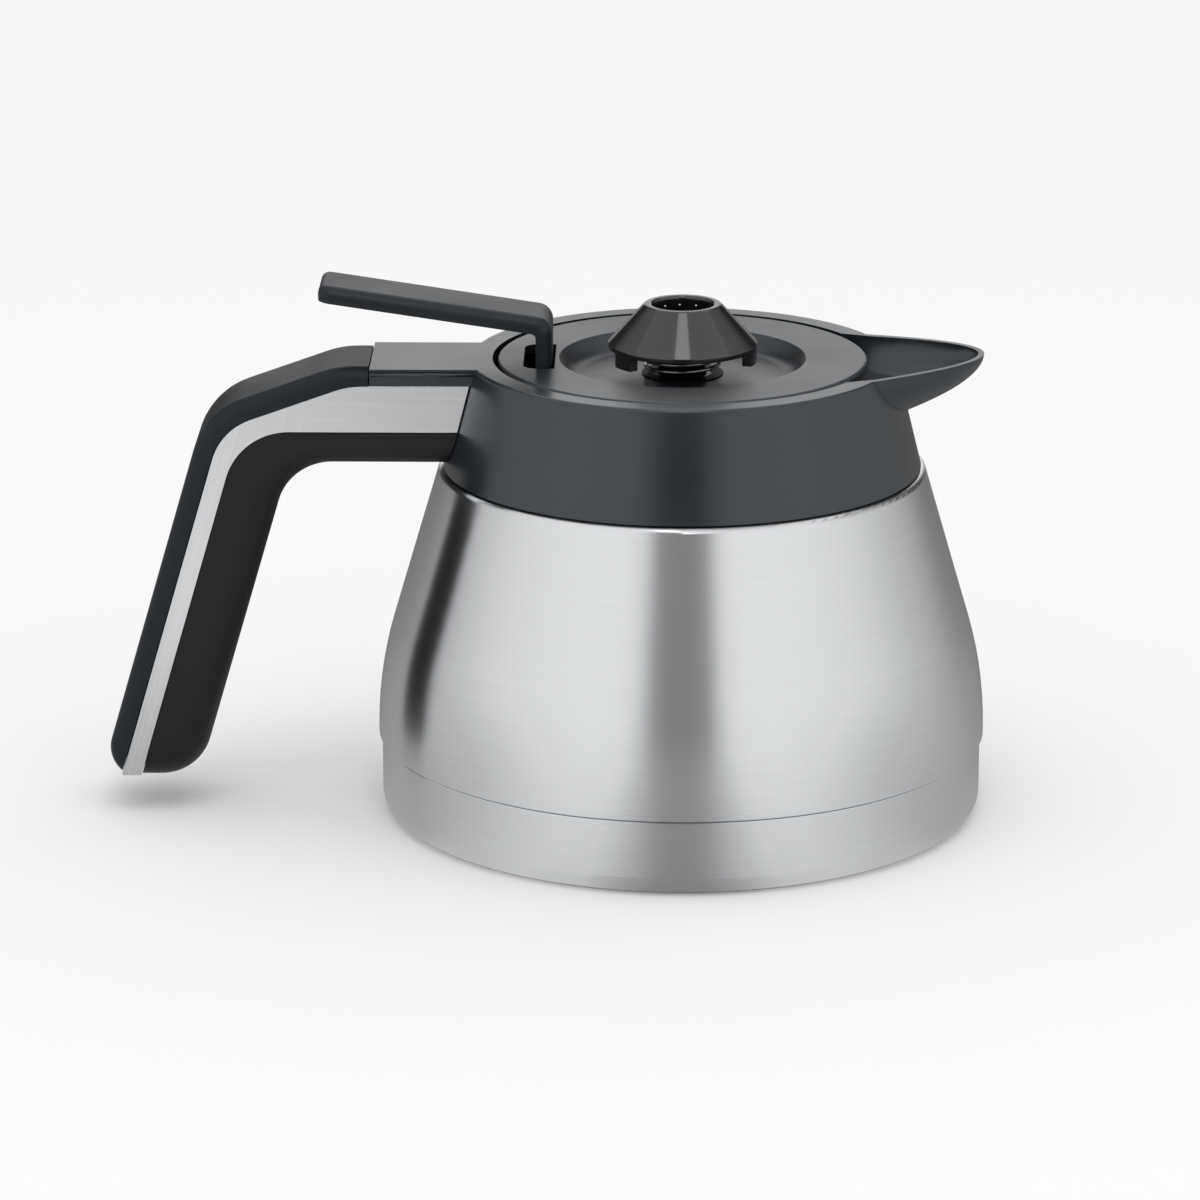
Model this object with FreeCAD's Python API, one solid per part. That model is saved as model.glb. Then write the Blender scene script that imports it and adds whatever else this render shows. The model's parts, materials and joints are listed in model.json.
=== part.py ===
import FreeCAD, Part
import math
import os

# A double-walled steel vacuum jug for filter coffee: a tapered flask with a pressed base cup, a moulded
# collar with spout and handle, and a lift-off lid with a thumb lever, a pour valve and a brew-through cone.
# Millimetres. The origin is the middle of the underside, +Z is up, +X points to the spout.

V = FreeCAD.Vector
UP = V(0, 0, 1)

# Steel body
body_r = 75.0             # largest outer radius
side_height = 2.0         # upright side, from the seam to the start of the swell
swell_reach = 13.7        # start of the swell to the corner where side and taper would meet
shoulder_z = 86.6         # flat shoulder under the collar
shoulder_width = 14.1     # neck to the edge of the shoulder
shoulder_round = 1.4
shell_wall = 0.8
step_round = 0.3          # edge of the shell above the seam

# Neck and inner flask
mouth_r = 42.5            # clear radius of the flask's mouth
neck_height = 14.4        # shoulder to the top of the neck
neck_gap = 1.5            # vacuum space between the two necks
neck_round = 2.0
vacuum_gap = 4.0          # vacuum space between the two sides
floor_gap = 4.7           # vacuum space under the flask
flask_wall = 0.7
flask_floor_round = 8.0
flask_shoulder_round = 6.0
lip_overhang = 0.8        # flask lip past the outer neck

# Base cup and vacuum closure
seam_z = 18.6             # top edge of the base cup
seam_gap = 0.4
cup_step = 0.8            # cup stands back from the body
cup_wall = 0.8
cup_corner_r = 4.6
cup_fit = 0.2             # radial room between cup and shell
plate_z = 3.5             # underside of the bottom plate
plate_flange = 6.0        # height of the plate's welded flange
vent_r = 1.5              # hole the air was drawn through
seal_bead_r = 3.2
seal_bead_height = 1.4
getter_r = 6.0
getter_height = 2.6
getter_x = 24.0

# Collar
collar_gap_z = 0.5        # shadow gap above the steel shoulder
collar_step = 1.0         # collar stands back from the steel shoulder
collar_wall = 2.3
collar_top_web = 2.2
collar_rim_round = 1.0
rim_width = 5.6           # land round the lid
ledge_thick = 2.3         # ledge that carries the lid
ledge_in = 0.9            # ledge stands back from the mouth
ledge_width = 3.0
lid_well_depth = 8.1      # rim down to the ledge
skirt_height = 6.2        # inner skirt below the ledge, round the flask lip
skirt_wall = 2.0
lip_room = 0.5            # skirt clear of the flask lip
hook_height = 2.2
hook_arc_deg = 30.0
hook_count = 3
hook_start_deg = 45.0
hook_reach = 1.0
hook_gap = 0.2
neck_gasket_height = 1.5
neck_gasket_inset = 0.3

# Spout
spout_reach = 21.6        # tip past the collar rim
spout_spread = 20.5       # half width squared, per mm back from the tip
spout_depth = 8.5         # depth squared, per mm back from the tip
spout_rise = 1.4          # rim of the tip above the collar rim
spout_wall = 1.4
spout_root = 8.4          # how far the spout's form runs inside the lid's well

# Handle, seen from the side
arm_width = 27.6
arm_height = 25.1         # collar rim to the underside of the arm
handle_reach = 112.9      # axis to the grip's outer face, at rim height
bend_back = 29.2          # grip's outer face back to where the flat top starts to fall
stub_lead = 7.7           # bend back to the seam between collar arm and outer cap
arm_fall_deg = 19.6
grip_lean_deg = 16.4      # lean of the grip from upright
grip_depth = 23.4
grip_end_z = 8.2          # lower end of the grip
bend_round = 24.0
corner_round = 20.0
inner_corner_round = 14.0
tip_outer_round = 8.0
tip_inner_round = 12.5
cap_depth_arm = 4.2
cap_depth_fall = 4.8
cap_depth_grip = 4.8
band_depth_arm = 16.0     # rim to the lower edge of the steel panel
band_depth_grip = 9.6     # outer face to the inner edge of the steel strip
band_inner_round = 16.0
cap_edge_round = 3.8
grip_edge_round = 8.0
grip_inset = 0.4          # grip sides stand back from the cap sides
trim_thick = 1.0
band_lift = 1.5           # steel band's lower end above the grip's
trim_inset = 0.5          # steel trim stands back from the cap sides
core_side = 3.6           # grip skin at the sides of the core
core_inner = 3.4          # grip skin on the inner face of the core
layer_gap = 0.1           # between the handle's layers
seam_width = 0.3
collar_gap = 0.2          # handle pieces clear of the collar cone
groove_top = 0.3          # thin shadow groove under the arm's top face
groove_height = 0.5
groove_depth = 0.5
bead_height = 1.1
handle_screw_r = 1.7
handle_screw_head_r = 3.0
handle_screw_head = 1.6
handle_screw_length = 12.0
handle_screw_rise = 2.7   # screws above the core's lower face
handle_screw_wall = 4.0   # screws in from the core's sides

# Lid
lid_gap = 1.2             # dark line round the lid
lid_plate = 2.2
lid_edge_round = 0.8
dish_slope = 3.6          # width of the dish's slanted side
dish_depth = 4.0
dish_round = 5.0
dish_edge_round = 0.5
dish_plate = 2.0
lid_floor = 1.6
lid_cup_room = 1.9        # lid cup clear of the flask's mouth
lid_cup_wall = 1.3
lid_rim_wall = 1.6
lid_flange = 1.6
window_deg = 54.0         # pour window, facing the spout
seal_room = 0.3           # lid seal clear of the flask neck
seal_groove = 0.8
seal_drop = 12.0          # ledge down to the seal's lower edge
seal_height = 3.4
lid_screw_r = 1.3
lid_screw_head_r = 2.6
lid_screw_head = 1.5
lid_screw_length = 13.0
lid_screw_room = 0.25
lid_boss_r = 3.0
lid_boss_room = 2.3       # bosses clear of the cup wall
lid_boss_angles = (55.0, 125.0, 235.0, 305.0)

# Thumb lever
lever_width = 20.0
lever_thick = 3.9
lever_neck = 3.9
lever_length = 56.7       # spout side of the neck to the tip
lever_rise_deg = 8.5
lever_height = 11.2       # lid top to the upper corner over the neck
lever_corner_round = 4.0
lever_inner_round = 1.2
lever_tip_round = 2.0
lever_edge_round = 3.0      # long upper edges
neck_room = 1.5           # neck clear of the dish
lug_room = 0.9            # lugs clear of the cup wall
pivot_drop = 13.6         # lid top down to the pivot
pin_r = 1.45
pin_room = 0.05
pin_grip = 0.02
lever_boss_r = 3.2
fork_drop = 7.8           # pivot down to the fork's middle
fork_tip_r = 1.2          # half the fork's thickness
fork_width = 2.5
fork_foot = 8.6           # length of the fork's foot plate
fork_room = 4.55          # prongs above the pour valve's disc
fork_side_room = 1.0      # prongs clear of the valve's sleeve
lug_thick = 2.0
lug_half = 2.6
lug_gap = 0.6             # lever clear of its lugs
slot_front = 0.7          # slot past the neck, spout side
slot_back = 3.1           # slot past the neck, handle side
slot_side = 2.3           # slot past the neck, each side
slot_round = 3.4

# Pour valve
guide_wall = 1.6
guide_lift = 0.6          # guide tube's lower end above the lid floor
slide_room = 0.3          # sliding room on the guide tube and the drip tube
sleeve_wall = 1.6
pour_seat_r = 18.0        # opening in the lid floor
pour_lap = 4.4            # valve disc past its seat
pour_disc = 1.6
pour_gasket = 1.2
pour_gasket_lap = 0.8
seat_gap = 0.05
fork_gap = 0.1
flange_lap = 0.5          # flange past the fork's prongs
flange_thick = 1.5
pour_spring_wire = 1.0
pour_spring_turns = 3.5

# Brew valve
cone_rim_r = 18.2
cone_rim_lift = 7.8       # cone's lower edge above the dish floor
cone_rim_height = 1.2
cone_height = 9.7
cone_hole_r = 7.4
cone_lip = 1.9
cone_lip_round = 0.8
cone_edge_round = 0.3
cone_wall = 1.3
cone_web_lift = 2.1       # lower edge to the web that the spring pushes
hub_wall = 1.4
hub_drop = 3.5            # hub below the web
stem_lap = 1.3            # drip tube above the web
funnel_height = 1.8
funnel_step = 0.2         # funnel's lower end past the drip tube's bore
leg_angles = (216.0, 346.0, 101.0)
leg_width = 6.2
leg_thick = 2.2
brew_travel = 3.2
leg_room = 0.2            # legs clear of the dish at full travel
stem_r = 5.6
stem_wall = 1.6
port_angles = (45.0, 135.0, 225.0, 315.0)
port_width = 3.0
port_height = 2.8
plug_lap = 1.0            # plug past the guide tube
plug_thick = 1.5
plug_spigot = 1.5
plug_fit = 0.05
brew_seal_height = 1.25
brew_spring_wire = 1.0
brew_spring_room = 2.0    # middle of the wire to the hub
brew_spring_turns = 4.0
spring_bend = 1.2         # bend of a spring's upright ends, in wire thicknesses
spring_foot = 0.3         # straight stretch at a spring's ends
spring_start_deg = 90.0   # where a spring's lower end stands, from the spout

# Worked-out places: body and collar
fall = math.radians(arm_fall_deg)
lean = math.radians(grip_lean_deg)
rise = math.radians(lever_rise_deg)
cup_r = body_r - cup_step
shell_spigot_r = cup_r - cup_wall - cup_fit
flask_floor_z = plate_z + shell_wall + floor_gap
neck_top_z = shoulder_z + neck_height
neck_in_r = mouth_r + flask_wall + neck_gap
neck_out_r = neck_in_r + shell_wall
swell_z = seam_z + side_height + swell_reach
shoulder_r = neck_out_r + shoulder_width
taper = math.atan((body_r - shoulder_r) / (shoulder_z - swell_z))
body_curve_r = swell_reach / math.tan(taper / 2)
lip_r = neck_out_r + lip_overhang
lip_top_z = neck_top_z + flask_wall
ledge_r = mouth_r + ledge_in
ledge_z = lip_top_z + neck_gasket_height + ledge_thick
lid_well_r = ledge_r + ledge_width
collar_bottom_z = shoulder_z + collar_gap_z
collar_bottom_r = shoulder_r - collar_step
collar_top_r = lid_well_r + rim_width
rim_z = ledge_z + lid_well_depth
skirt_r = lip_r + lip_room
skirt_bottom_z = ledge_z - ledge_thick - skirt_height
spout_tip_x = collar_top_r + spout_reach
spout_back_x = lid_well_r - spout_root
arm_half = arm_width / 2
arm_bend_x = bend_back - handle_reach
stub_end_x = arm_bend_x + stub_lead
spine_half = arm_half - grip_inset - core_side
handle_screw_y = spine_half - handle_screw_wall
handle_screw_z = rim_z - arm_height + core_inner + handle_screw_rise

# Worked-out places: lid, lever and valves
lid_r = lid_well_r - lid_gap
lid_under_z = rim_z - lid_plate
lid_cup_r = mouth_r - lid_cup_room
lid_cup_in_r = lid_cup_r - lid_cup_wall
lid_boss_circle_r = lid_cup_in_r - lid_boss_room - lid_boss_r
seal_z = ledge_z - seal_drop
lever_half = lever_width / 2
lug_span = lever_half + lug_gap + lug_thick
pivot_x = lug_half - math.sqrt((lid_cup_in_r - lug_room) ** 2 - lug_span ** 2)
pivot_z = rim_z - pivot_drop
lever_neck_x = pivot_x + lever_neck / 2
lever_back_x = pivot_x - lever_neck / 2
lever_tip_x = lever_neck_x - lever_length
lever_corner_z = rim_z + lever_height
fork_z = pivot_z - fork_drop
disc_top_z = fork_z - fork_tip_r - fork_room
disc_bottom_z = disc_top_z - pour_disc
lid_floor_top_z = disc_bottom_z - pour_gasket - seat_gap
lid_floor_z = lid_floor_top_z - lid_floor
dish_r = -lever_neck_x - neck_room
dish_floor_r = dish_r - dish_slope
dish_floor_z = rim_z - dish_depth
dish_under_z = dish_floor_z - dish_plate
guide_r = stem_r + slide_room
guide_out_r = guide_r + guide_wall
guide_bottom_z = lid_floor_top_z + guide_lift
sleeve_in_r = guide_out_r + slide_room
sleeve_out_r = sleeve_in_r + sleeve_wall
fork_in_y = sleeve_out_r + fork_side_room
fork_out_y = fork_in_y + fork_width
flange_r = fork_out_y + flange_lap
flange_bottom_z = fork_z + fork_tip_r + fork_gap
flange_top_z = flange_bottom_z + flange_thick
pour_disc_r = pour_seat_r + pour_lap
pour_spring_r = (sleeve_out_r + flange_r) / 2
cone_rim_z = dish_floor_z + cone_rim_lift
cone_top_z = cone_rim_z + cone_height
cone_lip_r = cone_hole_r + cone_lip
cone_web_z = cone_rim_z + cone_web_lift
cone_hub_r = stem_r + hub_wall
stem_bore_r = stem_r - stem_wall
stem_top_z = cone_web_z + stem_lap
funnel_z = stem_top_z + funnel_height
leg_bottom_z = dish_floor_z + brew_travel + leg_room
plug_r = guide_out_r + plug_lap
brew_seal_top_z = guide_bottom_z - seat_gap
plug_top_z = brew_seal_top_z - brew_seal_height
brew_spring_r = cone_hub_r + brew_spring_room
far = 200.0               # longer than anything here, for cutting shapes
over = 1.0                # how far a cutting shape runs past a face
tiny = 1e-6               # lengths below this count as nothing
gap_points = 400          # points on a spring's wire for measuring its least gap


def tangent_lengths(corners):
    """Distance from each corner of a closed outline to where its rounding starts."""
    lengths = []
    for i, (x, z, radius) in enumerate(corners):
        before = V(corners[i - 1][0] - x, 0, corners[i - 1][1] - z).normalize()
        after_x, after_z, _ = corners[(i + 1) % len(corners)]
        after = V(after_x - x, 0, after_z - z).normalize()
        lengths.append(radius / math.tan(before.getAngle(after) / 2))
    return lengths


def outline(corners):
    """Closed wire in the XZ plane through corners (x, z, rounding radius)."""
    lengths = tangent_lengths(corners)
    starts = []
    ends = []
    for i, (x, z, radius) in enumerate(corners):
        here = V(x, 0, z)
        before = V(corners[i - 1][0], 0, corners[i - 1][1]).sub(here).normalize()
        after_x, after_z, _ = corners[(i + 1) % len(corners)]
        after = V(after_x, 0, after_z).sub(here).normalize()
        starts.append(here + before * lengths[i])
        ends.append(here + after * lengths[i])
    edges = []
    for i, (x, z, radius) in enumerate(corners):
        if radius > 0:
            here = V(x, 0, z)
            inward = ((starts[i] + ends[i]) * 0.5).sub(here).normalize()
            middle = here + inward * (math.hypot(radius, lengths[i]) - radius)
            edges.append(Part.Arc(starts[i], middle, ends[i]).toShape())
        following = starts[(i + 1) % len(corners)]
        if ends[i].distanceToPoint(following) > tiny:
            edges.append(Part.LineSegment(ends[i], following).toShape())
    return Part.Wire(edges)


def sharp(*points):
    """Corners with no rounding."""
    return [(x, z, 0.0) for x, z in points]


def turned(corners):
    """Solid of revolution about the jug's axis."""
    return Part.Face(outline(corners)).revolve(V(0, 0, 0), UP, 360)


def slab(corners, y_from, y_to):
    """Side-view outline given a width across the jug."""
    face = Part.Face(outline(corners))
    face.translate(V(0, y_from, 0))
    return face.extrude(V(0, y_to - y_from, 0))


def ring(r_in, r_out, z_from, z_to):
    return turned(sharp((r_in, z_from), (r_out, z_from), (r_out, z_to), (r_in, z_to)))


def rod(r, z_from, z_to, x=0.0, y=0.0):
    return Part.makeCylinder(r, z_to - z_from, V(x, y, z_from), UP)


def block(x_from, x_to, y_from, y_to, z_from, z_to):
    return Part.makeBox(x_to - x_from, y_to - y_from, z_to - z_from, V(x_from, y_from, z_from))


def on_circle(shape, angles):
    """Copies of a shape turned about the jug's axis."""
    copies = []
    for angle in angles:
        copy = shape.copy()
        copy.rotate(V(0, 0, 0), UP, angle)
        copies.append(copy)
    return copies


def at_circle(r, angle):
    return r * math.cos(math.radians(angle)), r * math.sin(math.radians(angle))


def body_corners(inset, foot, shoulder, top, rounds):
    """Outline of the flask from its axis: foot corners, swell, shoulder and neck."""
    shoulder_z_here, neck_r_here = shoulder
    swell_here = swell_z - inset * math.tan(taper / 2)
    narrowing = math.tan(taper) * (shoulder_z_here - swell_z)
    shoulder_r_here = body_r - inset / math.cos(taper) - narrowing
    side = [(body_r - inset, swell_here, body_curve_r - inset)]
    top_corners = [
        (shoulder_r_here, shoulder_z_here, rounds[0]),
        (neck_r_here, shoulder_z_here, rounds[1]),
        (neck_r_here, top, 0.0),
        (0.0, top, 0.0),
    ]
    return foot + side + top_corners


def outer_shell():
    step_z = seam_z + seam_gap
    foot = sharp((0, plate_z), (shell_spigot_r, plate_z), (shell_spigot_r, step_z))
    foot.append((body_r, step_z, step_round))
    shoulder = (shoulder_z, neck_out_r)
    outside = turned(body_corners(0, foot, shoulder, neck_top_z, (shoulder_round, neck_round)))
    inner_spigot_r = shell_spigot_r - shell_wall
    foot = sharp((0, 0), (inner_spigot_r, 0), (inner_spigot_r, step_z + shell_wall))
    foot += sharp((body_r - shell_wall, step_z + shell_wall))
    rounds = (shoulder_round - shell_wall, neck_round + shell_wall)
    shoulder = (shoulder_z - shell_wall, neck_in_r)
    return outside.cut(turned(body_corners(shell_wall, foot, shoulder, far, rounds)))


def inner_flask():
    inset = shell_wall + vacuum_gap
    foot = sharp((0, flask_floor_z))
    foot.append((body_r - inset, flask_floor_z, flask_floor_round))
    shoulder = (shoulder_z - inset, mouth_r + flask_wall)
    outside = turned(body_corners(inset, foot, shoulder, lip_top_z, (flask_shoulder_round, neck_round)))
    lip = ring(mouth_r, lip_r, neck_top_z, lip_top_z)
    foot = sharp((0, flask_floor_z + flask_wall))
    foot.append((body_r - inset - flask_wall, flask_floor_z + flask_wall, flask_floor_round - flask_wall))
    shoulder = (shoulder_z - inset - flask_wall, mouth_r)
    rounds = (flask_shoulder_round - flask_wall, neck_round + flask_wall)
    inside = turned(body_corners(inset + flask_wall, foot, shoulder, far, rounds))
    return outside.fuse(lip).cut(inside).removeSplitter()


def bottom_plate():
    plate_r = shell_spigot_r - shell_wall
    cup = rod(plate_r, plate_z, plate_z + plate_flange)
    hollow = rod(plate_r - shell_wall, plate_z + shell_wall, plate_z + far)
    return cup.cut(hollow).cut(rod(vent_r, 0, far))


def vacuum_seal_bead():
    bead = rod(seal_bead_r, plate_z - seal_bead_height, plate_z)
    rim = [edge for edge in bead.Edges if edge.BoundBox.ZMax < plate_z - seal_bead_height / 2]
    return bead.makeFillet(seal_bead_height / 2, rim[:1]).fuse(rod(vent_r, plate_z, plate_z + shell_wall))


def getter():
    return rod(getter_r, plate_z + shell_wall, plate_z + shell_wall + getter_height, getter_x)


def base_cup():
    outside = turned([(0, 0, 0.0), (cup_r, 0, cup_corner_r), (cup_r, seam_z, step_round), (0, seam_z, 0.0)])
    inner_r = cup_r - cup_wall
    inside = turned([(0, cup_wall, 0.0), (inner_r, cup_wall, cup_corner_r - cup_wall), (inner_r, far, 0.0),
                     (0, far, 0.0)])
    return outside.cut(inside)


def collar_r(z):
    """Outer radius of the collar cone at a height."""
    share = (z - collar_bottom_z) / (rim_z - collar_bottom_z)
    return collar_bottom_r + share * (collar_top_r - collar_bottom_r)


def collar_ring():
    web_z = rim_z - collar_top_web
    skirt_out_r = skirt_r + skirt_wall
    outer = [(collar_bottom_r, collar_bottom_z, 0.0), (collar_top_r, rim_z, collar_rim_round)]
    return turned(outer + sharp(
        (lid_well_r, rim_z), (lid_well_r, ledge_z), (ledge_r, ledge_z), (ledge_r, ledge_z - ledge_thick),
        (skirt_r, ledge_z - ledge_thick), (skirt_r, skirt_bottom_z), (skirt_out_r, skirt_bottom_z),
        (skirt_out_r, web_z), (collar_r(web_z) - collar_wall, web_z),
        (collar_bottom_r - collar_wall, collar_bottom_z)))


def collar_hooks():
    """Snap hooks on the skirt, under the flask lip."""
    top = neck_top_z - hook_gap
    hoop = ring(skirt_r - hook_reach, skirt_r + skirt_wall / 2, top - hook_height, top)
    wedge = Part.makeCylinder(far, far, V(0, 0, 0), UP, hook_arc_deg)
    hook = hoop.common(wedge)
    return on_circle(hook, [hook_start_deg + i * 360 / hook_count for i in range(hook_count)])


def spout_form(tip_x, thickness):
    """Flattened paraboloid about the spout's rising rim, drawn in by a wall thickness."""
    back = tip_x - spout_back_x
    half_width = math.sqrt(spout_spread * back) - thickness
    bow = Part.BezierCurve()
    bow.setPoles([V(tip_x, 0, 0), V(tip_x, half_width / 2, 0), V(spout_back_x, half_width, 0)])
    back_corner = V(spout_back_x, 0, 0)
    closing = [Part.LineSegment(V(spout_back_x, half_width, 0), back_corner).toShape(),
               Part.LineSegment(back_corner, V(tip_x, 0, 0)).toShape()]
    form = Part.Face(Part.Wire([bow.toShape()] + closing)).revolve(V(0, 0, 0), V(1, 0, 0), 360)
    depth_share = (math.sqrt(spout_depth * back) - thickness) / half_width
    slope = spout_rise / (spout_tip_x - lid_well_r)
    squeeze = FreeCAD.Matrix()
    squeeze.A33 = depth_share
    squeeze.A31 = slope
    squeeze.A34 = rim_z - slope * lid_well_r
    return form.transformGeometry(squeeze)


def spout_rim_cut():
    """Everything above the spout's rising rim."""
    end_x = spout_tip_x + over
    return slab(sharp((spout_back_x - over, rim_z), (lid_well_r, rim_z), (end_x, rim_z + spout_rise),
                      (end_x, rim_z + far), (spout_back_x - over, rim_z + far)), -far, far)


def spout_outside():
    return spout_form(spout_tip_x, 0.0).cut(spout_rim_cut()).cut(rod(skirt_r, 0, far))


def spout_channel():
    above_floor = block(0, far, -far, far, ledge_z, far)
    return spout_form(spout_tip_x - spout_wall, spout_wall).common(above_floor)


def line_offset(point, direction, distance):
    """A line moved sideways, to the right of its direction of travel seen from -Y."""
    along = V(*direction).normalize()
    return V(*point) + V(along.z, 0, -along.x) * distance, along


def meet(first, second):
    """Corner where two lines in the XZ plane cross."""
    (a, u), (b, v) = first, second
    across = u.x * v.z - u.z * v.x
    gap = b - a
    step = (gap.x * v.z - gap.z * v.x) / across
    point = a + u * step
    return point.x, point.z


def arm_line(depth):
    return line_offset((0, 0, rim_z), (-1, 0, 0), -depth)


def fall_line(depth):
    return line_offset((arm_bend_x, 0, rim_z), (-math.cos(fall), 0, -math.sin(fall)), -depth)


def grip_line(depth):
    return line_offset((-handle_reach, 0, rim_z), (-math.sin(lean), 0, -math.cos(lean)), -depth)


def level_line(z):
    return V(0, 0, z), V(1, 0, 0)


def handle_corners():
    """Whole side outline of the handle, from inside the collar to the grip's lower end."""
    inner = grip_line(grip_depth)
    return [
        (0, rim_z, 0.0),
        (*meet(arm_line(0), fall_line(0)), bend_round),
        (*meet(fall_line(0), grip_line(0)), corner_round),
        (*meet(grip_line(0), level_line(grip_end_z)), tip_outer_round),
        (*meet(inner, level_line(grip_end_z)), tip_inner_round),
        (*meet(arm_line(arm_height), inner), inner_corner_round),
        (0, rim_z - arm_height, 0.0),
    ]


def inside_cap(gap):
    """Everything on the body side of the line between outer cap and steel band."""
    arm = arm_line(cap_depth_arm + gap)
    drop = fall_line(cap_depth_fall + gap)
    grip = grip_line(cap_depth_grip + gap)
    corners = [
        (0, rim_z - cap_depth_arm - gap, 0.0),
        (*meet(arm, drop), bend_round - cap_depth_arm),
        (*meet(drop, grip), corner_round - cap_depth_fall),
        (*meet(grip, level_line(-far)), 0.0),
        (0, -far, 0.0),
    ]
    return slab(corners, -far, far)


def inside_band(gap, arm_extra=0.0, grip_extra=0.0):
    """Everything on the body side of the line between steel band and grip."""
    arm = arm_line(band_depth_arm + gap + arm_extra)
    grip = grip_line(band_depth_grip + gap + grip_extra)
    corners = [
        (0, rim_z - band_depth_arm - gap - arm_extra, 0.0),
        (*meet(arm, grip), band_inner_round - gap),
        (*meet(grip, level_line(-far)), 0.0),
        (0, -far, 0.0),
    ]
    return slab(corners, -far, far)


def handle_block():
    return slab(handle_corners(), -arm_half, arm_half)


def collar_cone(gap):
    """Space taken by the collar, for ending the handle's pieces against it."""
    top = rim_z + over
    return turned(sharp((0, 0), (collar_r(0) + gap, 0), (collar_r(top) + gap, top), (0, top)))


def arm_stub():
    """Top of the arm, one moulding with the collar, with a shadow groove and a bead along each side."""
    stub = handle_block().cut(inside_cap(0.0))
    stub = stub.common(block(stub_end_x + seam_width / 2, 0, -far, far, 0, far))
    groove_z = rim_z - groove_top
    bead_z = groove_z - groove_height
    recess_z = bead_z - bead_height
    for z_from, z_to in ((bead_z, groove_z), (0, recess_z)):
        for side in (-1, 1):
            edge_y = side * (arm_half - groove_depth)
            stub = stub.cut(block(-far, 0, min(edge_y, side * far), max(edge_y, side * far), z_from, z_to))
    return stub.cut(rod((lid_well_r + collar_top_r) / 2, 0, far))


def handle_screw_places():
    return [-handle_screw_y, handle_screw_y]


def screw_seat_x():
    """Flat that the handle screws' heads bear on, just inside the collar wall."""
    inner_r = collar_r(handle_screw_z + handle_screw_head_r) - collar_wall
    return -math.sqrt(inner_r ** 2 - (handle_screw_y + handle_screw_head_r) ** 2) + collar_gap


def handle_screw_rods(r, length):
    """Rods that start at the screws' seat and run out through the collar wall into the handle."""
    return [Part.makeCylinder(r, length, V(screw_seat_x(), y, handle_screw_z), V(-1, 0, 0))
            for y in handle_screw_places()]


def collar():
    shape = collar_ring().multiFuse(collar_hooks() + [spout_outside(), arm_stub()])
    shape = shape.cut(spout_channel())
    half = handle_screw_y + handle_screw_head_r
    pad_z = (handle_screw_z - handle_screw_head_r, handle_screw_z + handle_screw_head_r)
    pad = block(-far, screw_seat_x(), -half, half, *pad_z).common(collar_cone(0.0))
    holes = handle_screw_rods(handle_screw_r + layer_gap, handle_screw_length)
    return shape.fuse(pad).cut(Part.Compound(holes)).removeSplitter()


def neck_gasket():
    top = lip_top_z + neck_gasket_height
    return ring(mouth_r + neck_gasket_inset, lip_r - neck_gasket_inset, lip_top_z, top)


def handle_cap():
    """Outer layer of the handle, with rounded long edges."""
    whole = handle_block()
    sides = [edge for edge in whole.Edges if edge.BoundBox.YLength < tiny and edge.BoundBox.XMin < -over]
    cap = whole.makeFillet(cap_edge_round, sides).cut(inside_cap(0.0))
    return cap.common(block(-far, stub_end_x - seam_width / 2, -far, far, -far, far))


def trim_half():
    return arm_half - trim_inset


def steel_band(half_width):
    """Layer between outer cap and grip, over a width."""
    whole = slab(handle_corners(), -half_width, half_width)
    end = block(-far, 0, -far, far, -far, grip_end_z + band_lift)
    return whole.common(inside_cap(layer_gap)).cut(inside_band(0.0)).cut(collar_cone(collar_gap)).cut(end)


def handle_trim(side):
    half = trim_half()
    y_from, y_to = sorted((side * half, side * (half - trim_thick)))
    return steel_band(half).common(block(-far, 0, y_from, y_to, -far, far))


def handle_core():
    """Stiff core behind the trim, with a narrower spine inside the grip."""
    band = steel_band(trim_half() - trim_thick)
    spine = slab(handle_corners(), -spine_half, spine_half).cut(collar_cone(collar_gap))
    end = block(-far, 0, -far, far, -far, grip_end_z + core_inner)
    reach_arm = arm_height - band_depth_arm - core_inner
    reach_grip = grip_depth - band_depth_grip - core_inner
    spine = spine.common(inside_cap(layer_gap)).cut(inside_band(0.0, reach_arm, reach_grip)).cut(end)
    pilots = handle_screw_rods(handle_screw_r, handle_screw_length)
    return band.fuse(spine).cut(Part.Compound(pilots)).removeSplitter()


def grip_form():
    """Grip skin before it is hollowed, with its hand side well rounded."""
    inner = grip_line(grip_depth)
    arm = arm_line(band_depth_arm + layer_gap)
    outer = grip_line(band_depth_grip + layer_gap)
    half = arm_half - grip_inset
    form = slab([
        (0, rim_z - band_depth_arm - layer_gap, 0.0),
        (*meet(arm, outer), band_inner_round - layer_gap),
        (*meet(outer, level_line(grip_end_z)), 0.0),
        (*meet(inner, level_line(grip_end_z)), tip_inner_round),
        (*meet(arm_line(arm_height), inner), inner_corner_round),
        (0, rim_z - arm_height, 0.0),
    ], -half, half)
    low_edges = [edge for edge in form.Edges
                 if edge.BoundBox.YLength < tiny and edge.BoundBox.ZMax < grip_end_z + tiny]
    return form.makeFillet(grip_edge_round, low_edges)


def handle_grip():
    grip = grip_form().cut(collar_cone(collar_gap))
    half = spine_half + layer_gap
    hollow = slab(handle_corners(), -half, half)
    end = block(-far, 0, -far, far, -far, grip_end_z + core_inner - layer_gap)
    reach_arm = arm_height - band_depth_arm - core_inner + layer_gap
    reach_grip = grip_depth - band_depth_grip - core_inner + layer_gap
    hollow = hollow.cut(inside_band(0.0, reach_arm, reach_grip)).cut(end)
    return grip.cut(hollow)


def handle_screws():
    screws = []
    for y, shank in zip(handle_screw_places(), handle_screw_rods(handle_screw_r, handle_screw_length)):
        seat = V(screw_seat_x(), y, handle_screw_z)
        screws.append(shank.fuse(Part.makeCylinder(handle_screw_head_r, handle_screw_head, seat, V(1, 0, 0))))
    return Part.Compound(screws)


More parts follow.
